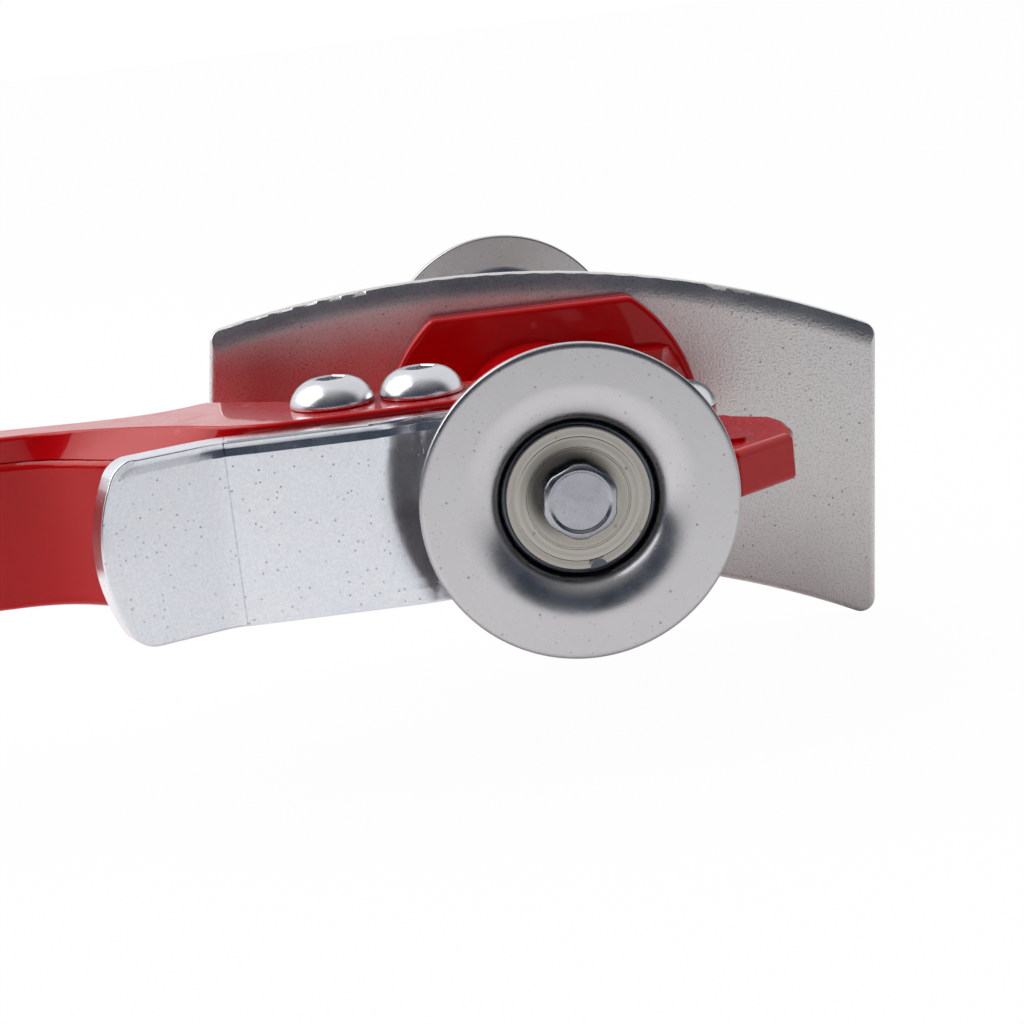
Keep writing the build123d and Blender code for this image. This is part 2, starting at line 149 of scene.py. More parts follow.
def new_group(name, inputs, outputs):
    """An empty node group; inputs and outputs are name to socket kind and default."""
    group = bpy.data.node_groups.new(name, "ShaderNodeTree")
    for key, (kind, default) in inputs.items():
        socket = group.interface.new_socket(key, in_out="INPUT", socket_type="NodeSocket" + kind)
        if default is not None:
            socket.default_value = default
    for key in outputs:
        group.interface.new_socket(key, in_out="OUTPUT", socket_type="NodeSocketFloat")
    into = group.nodes.new("NodeGroupInput")
    out = group.nodes.new("NodeGroupOutput")
    return group, Tree(group), into.outputs, out.inputs


def flecks_group():
    """Scattered small spots: Size is their spacing in metres, Cover the share that show."""
    group, t, given, made = new_group(
        "flecks", {"Place": ("Vector", None), "Size": ("Float", 0.001), "Cover": ("Float", 0.2)},
        ["Mask"])
    scale = t.math("DIVIDE", 1.0, given["Size"])
    cells = t.add("TexVoronoi", {"Vector": given["Place"], "Scale": scale})
    near = t.remap(cells.outputs["Distance"], 0.12, 0.3, 1.0, 0.0)
    pick = t.add("SeparateColor", {"Color": cells.outputs["Color"]})
    shown = t.math("LESS_THAN", pick.outputs["Red"], given["Cover"])
    strength = t.remap(pick.outputs["Green"], 0.0, 1.0, 0.35, 1.0)
    mask = t.math("MULTIPLY", t.math("MULTIPLY", near, shown), strength)
    t.put(made["Mask"], mask)
    return group


def mottle_group():
    """Soft cloudy change over the surface: Size is the patch size in metres."""
    group, t, given, made = new_group(
        "mottle", {"Place": ("Vector", None), "Size": ("Float", 0.01)}, ["Value"])
    scale = t.math("DIVIDE", 1.0, given["Size"])
    t.put(made["Value"], t.remap(t.noise(given["Place"], scale, 4.0), 0.25, 0.75))
    return group


def rub_group():
    """Fine straight rub marks along X."""
    group, t, given, made = new_group(
        "rub_marks", {"Place": ("Vector", None), "Width": ("Float", 0.0002)}, ["Mask", "Height"])
    scale = t.math("DIVIDE", 1.0, given["Width"])
    stretched = t.add("Mapping", {"Vector": given["Place"], "Scale": (0.03, 1.0, 1.0)})
    lines = t.noise(stretched.outputs[0], scale, 3.0, 0.6)
    t.put(made["Height"], lines)
    t.put(made["Mask"], t.remap(lines, 0.6, 0.72))
    return group


def turning_group():
    """Rings left by a lathe tool round the axle: Pitch is their spacing in metres."""
    group, t, given, made = new_group(
        "turning", {"Place": ("Vector", None), "Pitch": ("Float", 0.0004)}, ["Height", "Shade"])
    flat = t.add("VectorMath", {0: given["Place"], 1: (1.0, 0.0, 1.0)}, operation="MULTIPLY")
    radius = t.add("VectorMath", {0: flat.outputs[0]}, operation="LENGTH").outputs["Value"]
    place = t.math("DIVIDE", radius, given["Pitch"])
    rings = t.add("TexNoise", {"W": place, "Scale": 1.0, "Detail": 3.0}, noise_dimensions="1D")
    broad = t.add("TexNoise", {"W": t.math("MULTIPLY", place, 0.17), "Scale": 1.0,
                               "Detail": 1.0}, noise_dimensions="1D")
    t.put(made["Height"], rings.outputs[0])
    t.put(made["Shade"], t.remap(broad.outputs[0], 0.35, 0.65))
    return group


def blast_group():
    """Pebbled skin of a bead-blasted sheet: Size is the pebble size in metres."""
    group, t, given, made = new_group(
        "blasted_skin", {"Place": ("Vector", None), "Size": ("Float", 0.001)},
        ["Height", "Pits"])
    scale = t.math("DIVIDE", 1.0, given["Size"])
    pebbles = t.noise(given["Place"], scale, 0.0, 0.5)
    fine = t.noise(given["Place"], t.math("MULTIPLY", scale, 2.1), 0.0, 0.5)
    height = t.math("ADD", pebbles, t.math("MULTIPLY", fine, 0.2))
    t.put(made["Height"], height)
    t.put(made["Pits"], t.remap(height, 0.42, 0.56, 1.0, 0.0))
    return group


def dust_group():
    """Dust and light soil that lies on faces that look up."""
    group, t, given, made = new_group(
        "dust", {"Place": ("Vector", None), "Size": ("Float", 0.004)}, ["Mask"])
    facing = t.add("NewGeometry").outputs["Normal"]
    up = t.add("SeparateXYZ", {"Vector": facing}).outputs["Z"]
    scale = t.math("DIVIDE", 1.0, given["Size"])
    cloud = t.remap(t.noise(given["Place"], scale, 5.0, 0.65), 0.4, 0.75)
    t.put(made["Mask"], t.math("MULTIPLY", t.remap(up, 0.3, 1.0), cloud))
    return group


def band_group():
    """A soft round band about the axle: 1 between radius Inner and Outer, in metres."""
    group, t, given, made = new_group(
        "round_band", {"Place": ("Vector", None), "Inner": ("Float", 0.0),
                       "Outer": ("Float", 0.01), "Soft": ("Float", 0.0005)}, ["Mask"])
    level = t.add("VectorMath", {0: given["Place"], 1: (1.0, 0.0, 1.0)}, operation="MULTIPLY")
    radius = t.add("VectorMath", {0: level.outputs[0]}, operation="LENGTH").outputs["Value"]
    inner_start = t.math("SUBTRACT", given["Inner"], given["Soft"])
    outer_end = t.math("ADD", given["Outer"], given["Soft"])
    rise = t.remap(radius, inner_start, given["Inner"])
    fall = t.remap(radius, given["Outer"], outer_end, 1.0, 0.0)
    t.put(made["Mask"], t.math("MULTIPLY", rise, fall))
    return group


FLECKS = flecks_group()
BAND = band_group()
MOTTLE = mottle_group()
RUB = rub_group()
TURNING = turning_group()
BLAST = blast_group()
DUST = dust_group()


def start_material(name):
    """A new material with its Principled shader and Object coordinates."""
    made = bpy.data.materials.new(name)
    made.use_nodes = True
    t = Tree(made.node_tree)
    shader = made.node_tree.nodes["Principled BSDF"]
    place = t.add("TexCoord").outputs["Object"]
    return made, t, shader, place


def red_enamel():
    """Deep gloss red powder coat with a faint waviness, dust and a few pale specks."""
    made, t, shader, place = start_material("red_enamel")
    cloud = t.group(MOTTLE, Place=place, Size=0.03)["Value"]
    red = t.mix(cloud, (0.54, 0.0010, 0.0025, 1), (0.61, 0.0016, 0.004, 1))
    specks = t.group(FLECKS, Place=place, Size=0.0042, Cover=0.05)["Mask"]
    red = t.mix(t.math("MULTIPLY", specks, 0.35), red, (0.75, 0.3, 0.3, 1))
    dust = t.group(DUST, Place=place, Size=0.006)["Mask"]
    shader.inputs["Coat Weight"].default_value = 1.0
    shader.inputs["Coat Roughness"].default_value = 0.03
    shader.inputs["Coat IOR"].default_value = 1.31
    shader.inputs["Specular IOR Level"].default_value = 0.08
    t.put(shader.inputs["Base Color"], red)
    t.put(shader.inputs["Roughness"], t.remap(dust, 0.0, 1.0, 0.22, 0.4))
    waves = t.noise(place, 120.0, 0.0)
    t.put(shader.inputs["Normal"], t.bump(t.math("MULTIPLY", waves, 0.004)))
    return made


def metal(name, tone, deep, rough, fleck=(0.0011, 0.12, 0.5), grain=0.004):
    """A plain metal: tone and deep are its two colours, rough its roughness range."""
    made, t, shader, place = start_material(name)
    cloud = t.group(MOTTLE, Place=place, Size=0.012)["Value"]
    colour = t.mix(cloud, (*deep, 1), (*tone, 1))
    spots = t.group(FLECKS, Place=place, Size=fleck[0], Cover=fleck[1])["Mask"]
    colour = t.mix(t.math("MULTIPLY", spots, fleck[2]), colour, (0.12, 0.12, 0.13, 1))
    t.put(shader.inputs["Base Color"], colour)
    shader.inputs["Metallic"].default_value = 1.0
    fine = t.group(MOTTLE, Place=place, Size=0.0015)["Value"]
    t.put(shader.inputs["Roughness"], t.remap(fine, 0.0, 1.0, *rough))
    skin = t.noise(place, 800.0, 1.0)
    t.put(shader.inputs["Normal"], t.bump(t.math("MULTIPLY", skin, grain)))
    return made


def lever_zinc():
    """Bright bluish zinc with small dark specks and faint rub marks along the strap."""
    made, t, shader, place = start_material("lever_zinc")
    cloud = t.group(MOTTLE, Place=place, Size=0.008)["Value"]
    colour = t.mix(cloud, (0.83, 0.85, 0.90, 1), (0.92, 0.93, 0.96, 1))
    rub = t.group(RUB, Place=place, Width=0.00018)
    colour = t.mix(t.math("MULTIPLY", rub["Mask"], 0.18), colour, (0.9, 0.91, 0.94, 1))
    large = t.group(FLECKS, Place=place, Size=0.0012, Cover=0.05)["Mask"]
    small = t.group(FLECKS, Place=place, Size=0.0009, Cover=0.24)["Mask"]
    spots = t.math("MAXIMUM", t.math("MULTIPLY", large, 0.6), small)
    colour = t.mix(t.math("MULTIPLY", spots, 0.5), colour, (0.16, 0.17, 0.22, 1))
    grain = t.remap(t.noise(place, 2200.0, 1.0), 0.35, 0.65)
    colour = t.mix(t.math("MULTIPLY", grain, 0.16), colour, (0.42, 0.44, 0.5, 1))
    t.put(shader.inputs["Base Color"], colour)
    shader.inputs["Metallic"].default_value = 1.0
    t.put(shader.inputs["Roughness"], t.remap(cloud, 0.0, 1.0, 0.19, 0.26))
    skin = t.noise(place, 700.0, 1.0)
    height = t.math("ADD", t.math("MULTIPLY", skin, 0.006),
                    t.math("MULTIPLY", rub["Height"], 0.001))
    height = t.math("SUBTRACT", height, t.math("MULTIPLY", spots, 0.02))
    t.put(shader.inputs["Normal"], t.bump(height))
    return made


def roller_steel():
    """Satin warm grey steel with fine specks and hardly visible turning rings."""
    made, t, shader, place = start_material("roller_steel")
    turned = t.group(TURNING, Place=place, Pitch=0.0003)
    cloud = t.group(MOTTLE, Place=place, Size=0.007)["Value"]
    colour = t.mix(cloud, (0.65, 0.635, 0.64, 1), (0.71, 0.69, 0.695, 1))
    large = t.group(FLECKS, Place=place, Size=0.0012, Cover=0.05)["Mask"]
    small = t.group(FLECKS, Place=place, Size=0.0008, Cover=0.16)["Mask"]
    spots = t.math("MAXIMUM", large, t.math("MULTIPLY", small, 0.6))
    colour = t.mix(t.math("MULTIPLY", spots, 0.6), colour, (0.13, 0.13, 0.14, 1))
    # Painted shade: the dish floor round the washer is coloured dark bluish grey, in place of the shade
    # deep in the dish.
    painted_dish_shade = t.group(BAND, Place=place, Inner=0.0, Outer=0.0142, Soft=0.0026)["Mask"]
    # Painted reflection: a thin ring at the disc's outer rim is coloured partly dark, in place of the
    # dark room reflected in its rounded edge.
    painted_rim_reflection = t.group(BAND, Place=place, Inner=0.0287, Outer=0.04, Soft=0.0003)["Mask"]
    dark = t.math("MAXIMUM", painted_dish_shade, t.math("MULTIPLY", painted_rim_reflection, 0.3))
    colour = t.mix(dark, colour, (0.12, 0.13, 0.155, 1))
    t.put(shader.inputs["Base Color"], colour)
    shader.inputs["Metallic"].default_value = 1.0
    t.put(shader.inputs["Roughness"], t.remap(cloud, 0.0, 1.0, 0.24, 0.31))
    skin = t.noise(place, 800.0, 1.0)
    height = t.math("ADD", t.math("MULTIPLY", skin, 0.0025),
                    t.math("MULTIPLY", turned["Height"], 0.0006))
    t.put(shader.inputs["Normal"], t.bump(height))
    return made


def washer_steel():
    """Turned washer face, tan grey, with clear rings."""
    made, t, shader, place = start_material("washer_steel")
    turned = t.group(TURNING, Place=place, Pitch=0.00025)
    colour = t.mix(turned["Shade"], (0.44, 0.41, 0.365, 1), (0.50, 0.47, 0.425, 1))
    # Painted shadow: a soft dark patch is coloured on the washer up and left of the bolt, in place of
    # the bolt head's shadow and reflection.
    centred = t.add("Mapping", {"Vector": place, "Location": (0.0014, 0.0, -0.0018)})
    painted_bolt_shadow = t.group(BAND, Place=centred.outputs[0], Inner=0.0, Outer=0.0062, Soft=0.0034)["Mask"]
    colour = t.mix(t.math("MULTIPLY", painted_bolt_shadow, 0.9), colour, (0.035, 0.033, 0.03, 1))
    spots = t.group(FLECKS, Place=place, Size=0.0015, Cover=0.15)["Mask"]
    colour = t.mix(t.math("MULTIPLY", spots, 0.8), colour, (0.05, 0.05, 0.05, 1))
    t.put(shader.inputs["Base Color"], colour)
    shader.inputs["Metallic"].default_value = 1.0
    t.put(shader.inputs["Roughness"], t.remap(turned["Shade"], 0.0, 1.0, 0.3, 0.25))
    height = t.math("MULTIPLY", turned["Height"], 0.005)
    t.put(shader.inputs["Normal"], t.bump(height))
    return made


def blasted_steel():
    """Bead-blasted sheet: pebbled skin, dark pinholes, warm grey."""
    made, t, shader, place = start_material("blasted_steel")
    skin = t.group(BLAST, Place=place, Size=0.00045)
    cloud = t.group(MOTTLE, Place=place, Size=0.012)["Value"]
    colour = t.mix(cloud, (0.74, 0.71, 0.69, 1), (0.82, 0.79, 0.77, 1))
    colour = t.mix(t.math("MULTIPLY", skin["Pits"], 0.26), colour, (0.3, 0.28, 0.27, 1))
    spots = t.group(FLECKS, Place=place, Size=0.0010, Cover=0.14)["Mask"]
    colour = t.mix(t.math("MULTIPLY", spots, 0.6), colour, (0.08, 0.075, 0.075, 1))
    t.put(shader.inputs["Base Color"], colour)
    shader.inputs["Metallic"].default_value = 1.0
    t.put(shader.inputs["Roughness"], t.remap(cloud, 0.0, 1.0, 0.31, 0.36))
    height = t.math("SUBTRACT", t.math("MULTIPLY", skin["Height"], 0.032),
                    t.math("MULTIPLY", spots, 0.03))
    t.put(shader.inputs["Normal"], t.bump(height))
    return made


RED = red_enamel()
LEVER_ZINC = lever_zinc()
ROLLER_STEEL = roller_steel()
WASHER_STEEL = washer_steel()
BLASTED_STEEL = blasted_steel()
BOLT_ZINC = metal("bolt_zinc", (0.50, 0.51, 0.54), (0.42, 0.43, 0.46), (0.2, 0.3))
POLISHED = metal("polished_steel", (0.76, 0.76, 0.79), (0.70, 0.70, 0.73), (0.24, 0.29),
                 (0.0016, 0.05, 0.3), 0.0015)
GROUND = metal("ground_steel", (0.62, 0.61, 0.60), (0.52, 0.51, 0.50), (0.22, 0.32))
BRONZE = metal("bearing_bronze", (0.62, 0.38, 0.16), (0.48, 0.28, 0.12), (0.28, 0.42))
BLACK = metal("blackened_steel", (0.045, 0.045, 0.05), (0.03, 0.03, 0.033), (0.3, 0.45))
DULL_ZINC = metal("dull_zinc", (0.55, 0.57, 0.60), (0.46, 0.48, 0.52), (0.34, 0.46))

FINISHES = {
    "red_casting": RED, "red_plate": RED, "red_tube": RED, "red_flange": RED,
    "polished_steel": POLISHED, "zinc_fasteners": BOLT_ZINC, "black_steel": BLACK,
    "ground_steel": GROUND, "bronze": BRONZE, "zinc_tube": DULL_ZINC,
    "turned_steel": WASHER_STEEL, "roller_steel": ROLLER_STEEL, "hub_steel": GROUND,
    "blasted_steel": BLASTED_STEEL, "zinc_lever": LEVER_ZINC,
}


def finish_frame_nodes():
    """Every CAD node that stays gets the finish of its slot in the record."""
    for entry in frame["record"]["subparts"]:
        slots = frame["nodes"][entry["node"]].data.materials
        for place in range(len(slots)):
            slots[place] = FINISHES[entry["material_slot"]]


# ---- new pieces -----------------------------------------------------------------------------

def make_piece(bm, name, body, node, finish, sharp=32.0):
    """Turns a bmesh into a finished piece that stands for one CAD node."""
    bmesh.ops.remove_doubles(bm, verts=bm.verts, dist=1e-6)
    bmesh.ops.recalc_face_normals(bm, faces=bm.faces)
    for face in bm.faces:
        face.smooth = True
    for edge in bm.edges:
        edge.smooth = edge.calc_face_angle(0.0) < radians(sharp)
    mesh = bpy.data.meshes.new(name)
    bm.to_mesh(mesh)
    bm.free()
    piece = bpy.data.objects.new(name, mesh)
    bpy.context.scene.collection.objects.link(piece)
    mesh.materials.append(finish)
    even = piece.modifiers.new("even_normals", "WEIGHTED_NORMAL")
    even.keep_sharp = True
    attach(piece, body)
    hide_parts(node)
    return piece


def spun(profile):
    """A closed ring about the axle from a profile of (radius, place along the axle)."""
    bm = bmesh.new()
    corners = [bm.verts.new((radius, y, 0)) for radius, y in profile]
    edges = [bm.edges.new(pair) for pair in zip(corners, corners[1:] + corners[:1])]
    bmesh.ops.spin(bm, geom=corners + edges, cent=(0, 0, 0), axis=(0, 1, 0),
                   dvec=(0, 0, 0), angle=2 * pi, steps=TURN_STEPS, use_merge=True)
    return bm


def quarter(centre, reach, start, end, steps=14):
    """Points along part of an ellipse, for a profile; angles in degrees."""
    turn = [radians(start + (end - start) * k / steps) for k in range(steps + 1)]
    return [(centre[0] + reach[0] * cos(a), centre[1] + reach[1] * sin(a)) for a in turn]


def roller_disc(side, rim, inward):
    """Pressed disc: flat rim, wide rolled shoulder and a deep dish with a turned-in floor.

    The profile is in mm: radius, then depth from the rim's outer face.
    """
    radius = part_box(f"{side}_roller_disc")[1].x / MM
    bore = 11.0
    sheet = 2.2
    edge = 0.45
    front = [(bore, 5.4), (13.6, 5.4)]
    front += quarter((13.6, 4.6), (0.8, 0.8), 90, 10, 6)
    front += quarter((21.9, 5.0), (7.5, 5.0), 180, 270, 20)
    back = quarter((radius - 1.1, edge), (1.1, edge), -90, 0, 8)
    back += quarter((radius - edge, sheet - edge), (edge, edge), 0, 90, 6)
    shell = quarter((20.8 + 1.2, 5.0 + sheet), (5.4, 5.0), 270, 180)
    profile = front + back + shell + [(16.6, 7.6), (bore, 7.6)]
    bm = spun([(r * MM, (rim + inward * d) * MM) for r, d in profile])
    return make_piece(bm, f"{side}_dished_roller", f"{side}_roller", f"{side}_roller_disc",
                      ROLLER_STEEL)


def end_washer(side):
    """Turned washer with shallow rings and one half-round nick in its edge."""
    low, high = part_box(f"{side}_washer")
    outward = -1 if side == "front" else 1
    face = low.y if side == "front" else high.y
    back = high.y if side == "front" else low.y
    radius = high.x / MM + WASHER_EXTRA
    # Radius and depth below the face, in mm: the face, two cut grooves and a broken edge.
    steps = [(4.0, 0.0), (9.1, 0.0), (9.2, 0.07), (9.45, 0.07), (9.55, 0.0), (11.3, 0.0),
             (11.4, 0.06), (11.6, 0.06), (11.7, 0.0), (radius - 0.25, 0.0), (radius, 0.25)]
    profile = [(r * MM, face - outward * d * MM) for r, d in steps]
    profile += [(radius * MM, back), (4.0 * MM, back)]
    bm = spun(profile)
    piece = make_piece(bm, f"{side}_turned_washer", "frame", f"{side}_washer",
                       WASHER_STEEL, 20)
    turn = radians(10.6)
    middle = Vector((sin(turn) * radius * MM, face, -cos(turn) * radius * MM))
    cutter = bmesh.new()
    place = Matrix.Translation(middle) @ Matrix.Rotation(pi / 2, 4, "X")
    bmesh.ops.create_cone(cutter, cap_ends=True, segments=32, radius1=1.6 * MM,
                          radius2=1.6 * MM, depth=6 * MM, matrix=place)
    cut_away(piece, cutter)
    return piece


def cut_away(piece, cutter):
    """Takes the cutter's shape out of a piece, for good."""
    mesh = bpy.data.meshes.new("cutter")
    cutter.to_mesh(mesh)
    cutter.free()
    tool = bpy.data.objects.new("cutter", mesh)
    bpy.context.scene.collection.objects.link(tool)
    cut = piece.modifiers.new("cut", "BOOLEAN")
    cut.operation = "DIFFERENCE"
    cut.solver = "EXACT"
    cut.object = tool
    piece.modifiers.move(len(piece.modifiers) - 1, 0)
    bpy.context.view_layer.update()
    ready = piece.evaluated_get(bpy.context.evaluated_depsgraph_get())
    piece.data = bpy.data.meshes.new_from_object(ready)
    piece.modifiers.clear()
    bpy.data.objects.remove(tool)
    bm = bmesh.new()
    bm.from_mesh(piece.data)
    for face in bm.faces:
        face.smooth = True
    for edge in bm.edges:
        edge.smooth = edge.calc_face_angle(0.0) < radians(32)
    bm.to_mesh(piece.data)
    bm.free()
    even = piece.modifiers.new("even_normals", "WEIGHTED_NORMAL")
    even.keep_sharp = True


def ring_stack(rings, segments=96):
    """A closed shape about local Z: rings of (reach by angle, height by reach), capped at both ends."""
    bm = bmesh.new()
    ring = bmesh.ops.create_circle(bm, segments=segments, radius=1.0)["verts"]
    bmesh.ops.contextual_create(bm, geom=ring)
    for count, (reach_of, height_of) in enumerate(rings):
        if count:
            chosen = set(ring)
            edges = [e for e in bm.edges if e.verts[0] in chosen and e.verts[1] in chosen]
            made = bmesh.ops.extrude_edge_only(bm, edges=edges)["geom"]
            ring = [g for g in made if isinstance(g, bmesh.types.BMVert)]
        for vert in ring:
            angle = atan2(vert.co.y, vert.co.x)
            reach = reach_of(angle)
            vert.co = Vector((cos(angle) * reach, sin(angle) * reach, height_of(reach)))
    bmesh.ops.contextual_create(bm, geom=ring)
    return bm


def flat(height):
    return lambda reach: height


def round_at(radius):
    return lambda angle: radius


def hexagon(flats, corner, turn):
    """Reach of a hexagon by angle, held in at its rounded corners; a corner lies at turn."""
    def reach(angle):
        off = (angle - turn + pi / 6) % (pi / 3) - pi / 6
        return min(flats / 2 / cos(pi / 6 - abs(off)), corner)
    return reach


def end_bolt(side):
    """Hexagon bolt: soft corners, turned chamfer, fine raised rim and a sunk round top."""
    low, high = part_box(f"{side}_bolt")
    front = side == "front"
    top = low.y if front else high.y
    head = 3.4 * MM
    shank = 18 * MM
    flange = 6.1 * MM
    outline = hexagon(13.3 * MM, 7.02 * MM, pi / 6 - GUIDE_LEAN)

    def inside(step):
        return lambda angle: outline(angle) - step

    def chamfer(drop):
        return lambda reach: head - drop - 0.5 * max(reach - flange, 0.0)

    rings = [
        (round_at(M8_RADIUS), flat(-shank)),
        (round_at(M8_RADIUS), flat(0.0)),
        (outline, flat(0.0)),
        (outline, chamfer(0.35 * MM)),
        (inside(0.08 * MM), chamfer(0.18 * MM)),
        (inside(0.28 * MM), chamfer(0.06 * MM)),
        (round_at(5.95 * MM), flat(head - 0.02 * MM)),
        (round_at(5.8 * MM), flat(head)),
        (round_at(5.65 * MM), flat(head - 0.05 * MM)),
        (round_at(5.3 * MM), flat(head - 0.5 * MM)),
        (round_at(5.1 * MM), flat(head - 0.56 * MM)),
    ]
    bm = ring_stack(rings)
    if front:
        stand = Matrix.Rotation(pi / 2, 4, "X")
    else:
        stand = Matrix.Rotation(-pi / 2, 4, "X")
    seat = top + (head if front else -head)
    bmesh.ops.transform(bm, matrix=Matrix.Translation((0, seat, 0)) @ stand, verts=bm.verts)
    return make_piece(bm, f"{side}_hexagon_bolt", "frame", f"{side}_bolt", BOLT_ZINC,
                      40)


def button_head(place, length):
    """Domed socket head on its shank; place is the middle of its seat."""
    dome = quarter((2.6, -0.45), (5.52, 5.52), 12, 79, 14)
    socket = hexagon(5 * MM, 2.95 * MM, 0.35)
    rings = [
        (round_at(M8_RADIUS), flat(-length)),
        (round_at(M8_RADIUS), flat(0.0)),
        (round_at(7.6 * MM), flat(0.0)),
        (round_at(7.9 * MM), flat(0.2 * MM)),
    ]
    rings += [(round_at(r * MM), flat(h * MM)) for r, h in dome]
    rings += [
        (round_at(3.4 * MM), flat(5.0 * MM)),
        (lambda angle: socket(angle) + 0.2 * MM, flat(5.0 * MM)),
        (socket, flat(4.8 * MM)),
        (socket, flat(2.2 * MM)),
        (round_at(0.4 * MM), flat(1.5 * MM)),
    ]
    bm = ring_stack(rings, 72)
    bmesh.ops.translate(bm, vec=place, verts=bm.verts)
    return bm


def button_screws():
    """The three domed socket screws: two on the arm's top plate and one behind the nose."""
    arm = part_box("top_plate")[1].z
    seats = [((x, y, arm), ARM_SCREW_LENGTH) for x, y in ARM_SCREWS]
    seats.append((NOSE_SCREW, NOSE_SCREW_LENGTH))
    bm = bmesh.new()
    for place, length in seats:
        head = button_head(place, length)
        mesh = bpy.data.meshes.new("head")
        head.to_mesh(mesh)
        head.free()
        bm.from_mesh(mesh)
        bpy.data.meshes.remove(mesh)
    return make_piece(bm, "domed_screws", "frame", "button_screws", POLISHED,
                      28)


def slice_at(bm, place, way=(1, 0, 0)):
    bmesh.ops.bisect_plane(bm, geom=bm.verts[:] + bm.edges[:] + bm.faces[:],
                           plane_co=Vector(way) * place, plane_no=way)


def new_verts(made):
    """The vertices among what an extrusion made."""
    return [g for g in made["geom"] if isinstance(g, bmesh.types.BMVert)]


def reach_from_axle(point):
    return Vector((point.x, point.z)).length


def lever_outline(front, half, eye):
    """The flat front face: a ring round the eye, squared off and drawn out to the left."""
    bm = bmesh.new()
    stand = Matrix.Translation((0, front, 0)) @ Matrix.Rotation(pi / 2, 4, "X")
    bmesh.ops.create_circle(bm, segments=72, radius=eye, matrix=stand)
    made = bmesh.ops.extrude_edge_only(bm, edges=bm.edges[:])
    for vert in new_verts(made):
        way = Vector((vert.co.x, vert.co.z)).normalized()
        if way.x < -NEAR:
            way /= max(abs(way.x), abs(way.y))
        vert.co.x = way.x * half
        vert.co.z = way.y * half
    end_x = LEVER_BEND - TAB_LENGTH
    runs = (-36 * MM, -50 * MM, LEVER_BEND, LEVER_BEND - 8 * MM, end_x + 9 * MM, end_x)
    for place in runs:
        left = min(v.co.x for v in bm.verts)
        edges = [e for e in bm.edges if all(v.co.x < left + NEAR for v in e.verts)]
        made = bmesh.ops.extrude_edge_only(bm, edges=edges)
        for vert in new_verts(made):
            vert.co.x = place
    # The end is arched, and its two corners are rounded.
    for vert in bm.verts:
        if vert.co.x < end_x + NEAR:
            vert.co.x += TAB_ARCH * (vert.co.z / half) ** 2
    corners = [v for v in bm.verts if abs(abs(v.co.z) - half) < NEAR
               and v.co.x < end_x + TAB_ARCH + 0.1 * MM]
    bmesh.ops.bevel(bm, geom=corners, offset=3.0 * MM, segments=6, profile=0.5,
                    affect="VERTICES", material=-1)
    bmesh.ops.recalc_face_normals(bm, faces=bm.faces)
    return bm


def thicken(bm):
    made = bmesh.ops.extrude_face_region(bm, geom=bm.faces[:])
    bmesh.ops.translate(bm, vec=(0, LEVER_THICK, 0), verts=new_verts(made))
    bmesh.ops.recalc_face_normals(bm, faces=bm.faces)
    bm.faces.ensure_lookup_table()


def roll_edge(bm, front, half, eye):
    """Rolls the shear-cut edge over, in full along the top and hardly at all along the bottom."""
    faces = [f for f in bm.faces if all(abs(v.co.y - front) < 1e-7 for v in f.verts)]
    inner = set(faces)
    ring = set()
    for edge in {e for f in faces for e in f.edges}:
        if len([f for f in edge.link_faces if f in inner]) == 1:
            ring.update(edge.verts)
    # Width of each ring, then how far it falls back on the tab and on the strap.
    for width, tab_drop, strap_drop in ((0.45, 0.2, 0.55), (0.45, 0.08, 0.37),
                                        (0.45, 0.02, 0.18), (0.2, 0.0, 0.0)):
        rim = bmesh.ops.inset_region(bm, faces=faces, thickness=width * MM,
                                     use_even_offset=True, use_boundary=True)["faces"]
        following = {v for f in rim for v in f.verts} - ring
        for vert in ring:
            if reach_from_axle(vert.co) > eye + EYE_CLEAR:
                level = min(max(vert.co.z / half * 2.0, 0.0), 1.0)
                share = 0.05 + 0.95 * level * level * (3 - 2 * level)
                fall = strap_drop if vert.co.x > LEVER_BEND - NEAR else tab_drop
                vert.co.y += fall * share * MM
        ring = following
    bm.edges.ensure_lookup_table()


def soften(bm, width, left, right, eye, belongs):
    """Rounds the sharp edges between left and right that belongs picks by their two ends."""
    chosen = []
    for edge in bm.edges:
        if len(edge.link_faces) != 2 or edge.calc_face_angle(0) < SHARP_EDGE:
            continue
        places = [v.co for v in edge.verts]
        if any(not left <= p.x <= right for p in places):
            continue
        if max(reach_from_axle(p) for p in places) < eye + EYE_CLEAR:
            continue
        if all(belongs(p) for p in places):
            chosen.append(edge)
    bmesh.ops.bevel(bm, geom=chosen, offset=width * MM, segments=8, profile=0.5,
                    affect="EDGES", material=-1, clamp_overlap=True)


def soften_lever(bm, front, back, eye):
    """The tab's front edges are rounder than the strap's; the strap's back edges are broken."""
    tab = (-1, LEVER_BEND + 1e-5)
    strap = (LEVER_BEND - 1e-5, 1)

    def on_front(point):
        return point.y < front + 0.6 * MM

    def on_back(point):
        return point.y > back - 0.01 * MM

    soften(bm, 0.8, *tab, eye, on_front)
    soften(bm, 0.2, *strap, eye, on_front)
    soften(bm, 0.4, *tab, eye, on_back)
    soften(bm, 2.2, *strap, eye, on_back)


